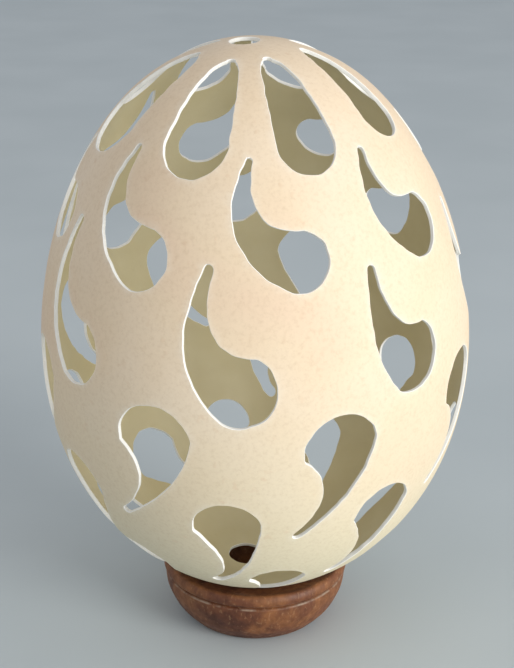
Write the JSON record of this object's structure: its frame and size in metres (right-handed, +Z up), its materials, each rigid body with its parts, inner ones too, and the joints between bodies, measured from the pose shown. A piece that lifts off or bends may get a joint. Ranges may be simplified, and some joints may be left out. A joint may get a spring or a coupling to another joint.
{
  "type": "pierced chicken eggshell on a turned wooden stand",
  "caption": "Blown hen's egg with rings of teardrop and comma-shaped piercings through its shell, resting pointed end up in a small turned wooden cup stand.",
  "frame": {"origin": "centre of the stand's flat foot, on the surface it stands on", "axes": "+Z up along the stand's turning axis, -Y towards the front, where the egg's top leans, +X to the right seen from the front"},
  "size_m": [0.0435, 0.0436, 0.0627],
  "materials": {
    "eggshell": "matte natural eggshell, cream, with paler cut edges",
    "stand_wood": "turned reddish-brown wood with a satin finish"
  },
  "bodies": {
    "root": {"eggshell": "eggshell", "stand": "stand_wood"}
  },
  "joints": []
}
